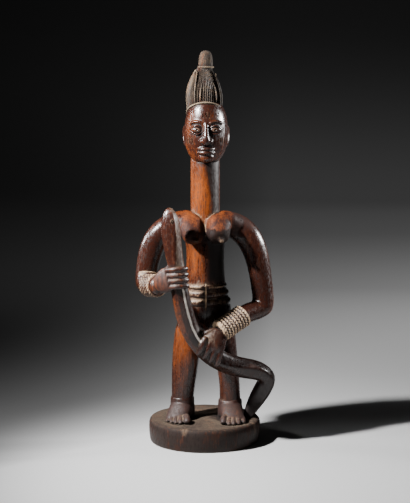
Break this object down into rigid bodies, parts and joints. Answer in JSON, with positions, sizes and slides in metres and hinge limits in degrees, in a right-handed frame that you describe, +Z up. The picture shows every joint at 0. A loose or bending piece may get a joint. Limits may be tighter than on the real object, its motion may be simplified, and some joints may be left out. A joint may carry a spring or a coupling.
{
  "type": "yoruba figure",
  "caption": "Carved wooden figure in the Yoruba manner: a standing woman with a tall ridged coiffure, holding a snake across her body, feet on a round base",
  "frame": {"origin": "centre of the round base's flat underside", "axes": "+Z up through the base to the coiffure, the figure looks along -Y, her left hand is towards +X"},
  "size_m": [0.1942, 0.1573, 0.54],
  "materials": {
    "carved_wood": "dark red-brown hardwood with an oiled, handled gloss; dusty and matte on the coiffure, bracelets and base"
  },
  "bodies": {
    "root": {"figure": "carved_wood"}
  },
  "joints": []
}
